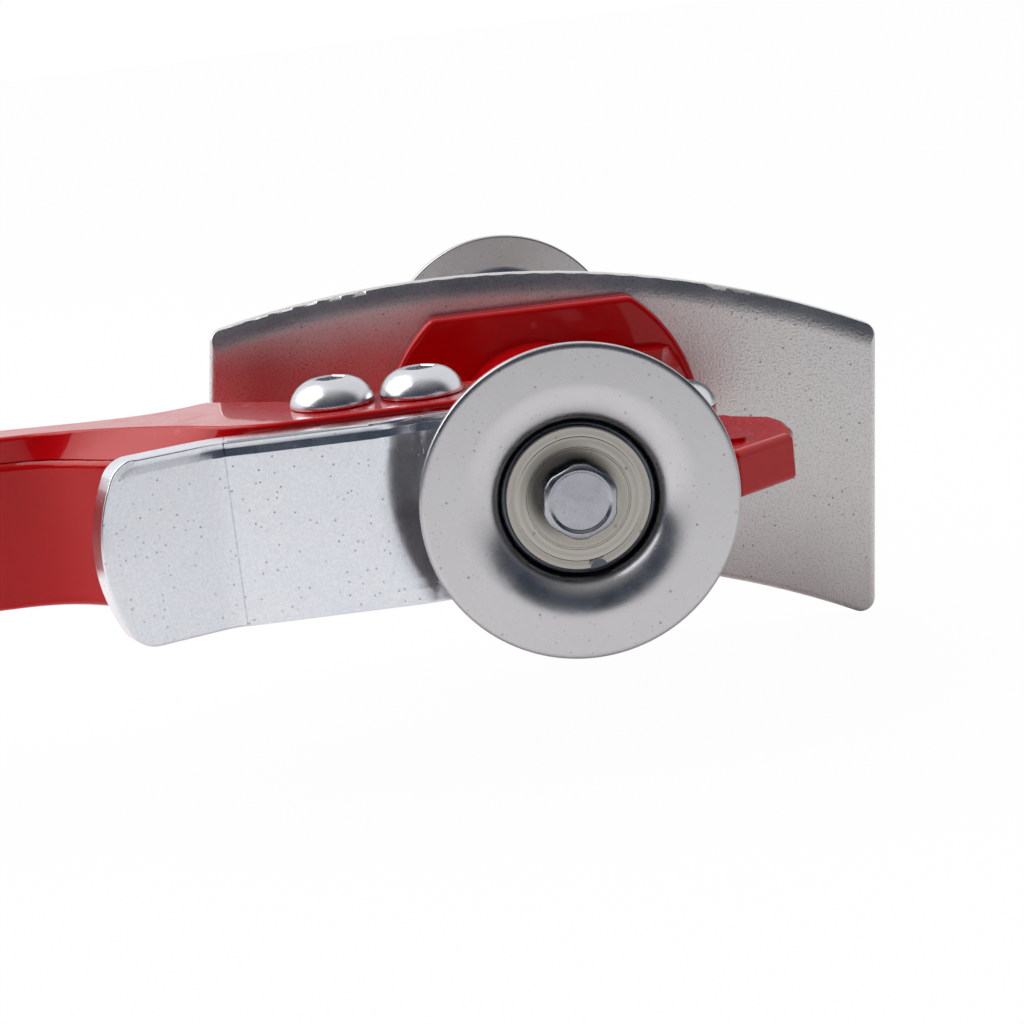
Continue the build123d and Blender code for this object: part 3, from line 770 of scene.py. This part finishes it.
def press_lever(bm, front, half):
    """Slopes the front back towards the eye and marks the crease, with a nick above it."""
    for k in range(1, FOLDS + 1):
        slice_at(bm, LEVER_BEND - k * FOLD_STEP)
    for step in (0.0, 0.14, 0.28, 0.9):
        slice_at(bm, LEVER_BEND + step * MM)
    for k in range(1, 9):
        slice_at(bm, (-36 + 1.2 * k) * MM)
    for k in range(-8, 9):
        slice_at(bm, 1.8 * k * MM, (0, 0, 1))
    for vert in bm.verts:
        p = vert.co
        if p.y > front + 1.2 * MM:
            continue
        away = Vector((p.x, p.z - 4 * MM)).length / MM
        along = min(max((36.4 - away) / 8.4, 0.0), 1.0)
        p.y += 1.8 * MM * along * along * (3 - 2 * along)
        if abs(p.x - LEVER_BEND - 0.14 * MM) < 0.02 * MM:
            p.y += 0.2 * MM
            if p.z > half - 1.9 * MM:
                p.z -= 0.45 * MM
                p.y += 0.25 * MM


def fold_tab(bm, middle):
    """Folds the tab forwards a little at each of the close cuts, the far ones first."""
    for k in reversed(range(FOLDS)):
        place = LEVER_BEND - k * FOLD_STEP
        beyond = [v for v in bm.verts if v.co.x < place - NEAR]
        bmesh.ops.rotate(bm, verts=beyond, cent=(place, middle, 0),
                         matrix=Matrix.Rotation(TAB_FLARE / FOLDS, 3, "Z"))


def lever():
    """Zinc strap with a round eye, rolled edges and a flared finger tab, folded at one line."""
    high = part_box("lever_bar")[1]
    half = high.z
    back = high.y
    front = back - LEVER_THICK
    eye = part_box("lever_bush")[1].x
    bm = lever_outline(front, half, eye)
    thicken(bm)
    roll_edge(bm, front, half, eye)
    soften_lever(bm, front, back, eye)
    press_lever(bm, front, half)
    fold_tab(bm, front + LEVER_THICK / 2)
    return make_piece(bm, "lever_strap", "lever", "lever_bar", LEVER_ZINC, 14)


def rim_guide():
    """Arched blasted plate: the CAD outline, with its top edge rolled over at the front."""
    node = frame["nodes"]["arched_plate"]
    bm = bmesh.new()
    bm.from_mesh(node.data)
    piece = make_piece(bm, "blasted_guide", "rim_guide", "arched_plate", BLASTED_STEEL)
    # The cutter is a thin sickle that is spun about the middle of the top arc.
    wide = 5.0 * MM
    deep = 0.9 * MM
    past = 3 * MM
    start = ARC_RADIUS - wide
    roll = [(start + wide * k / 10, deep * (k / 10) ** 2) for k in range(11)]
    roll += [(ARC_RADIUS + past, deep), (ARC_RADIUS + past, -1 * MM), (start, -1 * MM)]
    cutter = bmesh.new()
    lean = Matrix.Rotation(GUIDE_LEAN, 4, "Y")
    middle = Vector((ARC_SHIFT, 0, ARC_CROWN - ARC_RADIUS))
    corners = [cutter.verts.new((middle.x, y, middle.z + r)) for r, y in roll]
    edges = [cutter.edges.new(pair) for pair in zip(corners, corners[1:] + corners[:1])]
    half_turn = radians(22)
    bmesh.ops.rotate(cutter, verts=corners, cent=middle,
                     matrix=Matrix.Rotation(-half_turn, 3, "Y"))
    face = bmesh.ops.contextual_create(cutter, geom=edges)["faces"]
    bmesh.ops.spin(cutter, geom=face, cent=middle, axis=(0, 1, 0), dvec=(0, 0, 0),
                   angle=2 * half_turn, steps=90, use_merge=False)
    bmesh.ops.transform(cutter, matrix=lean, verts=cutter.verts)
    bmesh.ops.recalc_face_normals(cutter, faces=cutter.faces)
    cut_away(piece, cutter)
    return piece


def build_pieces():
    roller_disc("front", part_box("front_roller_disc")[0].y / MM, 1)
    roller_disc("rear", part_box("rear_roller_disc")[1].y / MM, -1)
    for side in ("front", "rear"):
        end_washer(side)
        end_bolt(side)
    button_screws()
    lever()
    rim_guide()


# ---- camera, light and floor ------------------------------------------------------------------

def add_camera():
    data = bpy.data.cameras.new("camera")
    data.lens = 87.89         # long enough that the near and far rollers differ little
    data.sensor_width = 36.0
    data.clip_start = 0.01
    data.clip_end = 20.0
    camera = bpy.data.objects.new("camera", data)
    heading = Matrix.Rotation(radians(-3.262), 4, "Z")
    pitch = Matrix.Rotation(radians(90 - 12.865), 4, "X")
    roll = Matrix.Rotation(radians(-6.413), 4, "Z")
    place = Matrix.Translation((-0.03731, -0.51191, 0.09949))
    camera.matrix_world = place @ heading @ pitch @ roll
    bpy.context.scene.collection.objects.link(camera)
    bpy.context.scene.camera = camera


def add_studio():
    """White all round for the camera; for the object, white behind and a dark room in front."""
    world = bpy.data.worlds.new("studio")
    bpy.context.scene.world = world
    world.use_nodes = True
    world.node_tree.nodes.clear()
    t = Tree(world.node_tree)
    way = t.add("SeparateXYZ", {"Vector": t.add("TexCoord").outputs["Generated"]}).outputs
    level = t.math("MULTIPLY_ADD", way["Z"], 0.5)
    level.node.inputs[2].default_value = 0.5
    # From straight down (0) to straight up (1): bright floor, dark room, brighter ceiling.
    ramp = t.add("ValToRGB", {"Fac": level})
    stops = [(0.0, 0.5), (0.475, 0.5), (0.505, 0.04), (0.76, 0.05), (0.9, 0.2), (1.0, 0.5)]
    elements = ramp.color_ramp.elements
    while len(elements) < len(stops):
        elements.new(0.5)
    for element, (place, value) in zip(elements, stops):
        element.position = place
        if value < 0.1:
            # The dark part of the room is bluish.
            element.color = (0.85 * value, 1.1 * value, 1.6 * value, 1)
        else:
            element.color = (value, value, value * 1.02, 1)
    front = t.remap(way["Y"], -0.3, 0.1, 1.0, 0.0)
    colour = t.mix(front, (0.85, 0.86, 0.88, 1), ramp.outputs["Color"])
    light = t.add("Background", {"Color": colour, "Strength": 1.0})
    seen = t.add("Background", {"Color": (1, 1, 1, 1), "Strength": 1.0})
    eye = t.add("LightPath").outputs["Is Camera Ray"]
    both = t.add("MixShader", {0: eye, 1: light.outputs[0], 2: seen.outputs[0]})
    t.add("OutputWorld", {"Surface": both.outputs[0]})


def add_softbox(name, place, aim, width, height, power):
    data = bpy.data.lights.new(name, "AREA")
    data.shape = "RECTANGLE"
    data.size = width
    data.size_y = height
    data.energy = power
    lamp = bpy.data.objects.new(name, data)
    lamp.location = place
    lamp.rotation_mode = "QUATERNION"
    lamp.rotation_quaternion = (Vector(aim) - Vector(place)).to_track_quat("-Z", "Y")
    lamp.visible_camera = False
    bpy.context.scene.collection.objects.link(lamp)


def add_floor():
    bm = bmesh.new()
    bmesh.ops.create_grid(bm, x_segments=1, y_segments=1, size=4.0,
                          matrix=Matrix.Translation((0, 0, cad_low.z - 0.0004)))
    mesh = bpy.data.meshes.new("floor")
    bm.to_mesh(mesh)
    bm.free()
    floor = bpy.data.objects.new("floor", mesh)
    bpy.context.scene.collection.objects.link(floor)
    made = bpy.data.materials.new("pale_floor")
    made.use_nodes = True
    made.node_tree.nodes.clear()
    t = Tree(made.node_tree)
    paper = t.add("BsdfDiffuse", {"Color": (0.9, 0.9, 0.9, 1)})
    white = t.add("Emission", {"Color": (1, 1, 1, 1), "Strength": 1.0})
    eye = t.math("MULTIPLY", t.add("LightPath").outputs["Is Camera Ray"], 0.97)
    both = t.add("MixShader", {0: eye, 1: paper.outputs[0], 2: white.outputs[0]})
    t.add("OutputMaterial", {"Surface": both.outputs[0]})
    mesh.materials.append(made)


finish_frame_nodes()
build_pieces()
add_camera()
add_studio()
add_softbox("left_sky", (-0.62, 0.05, 0.62), (0, 0, 0), 0.9, 0.8, 6.0)
add_floor()
bpy.context.scene.view_settings.view_transform = "Standard"
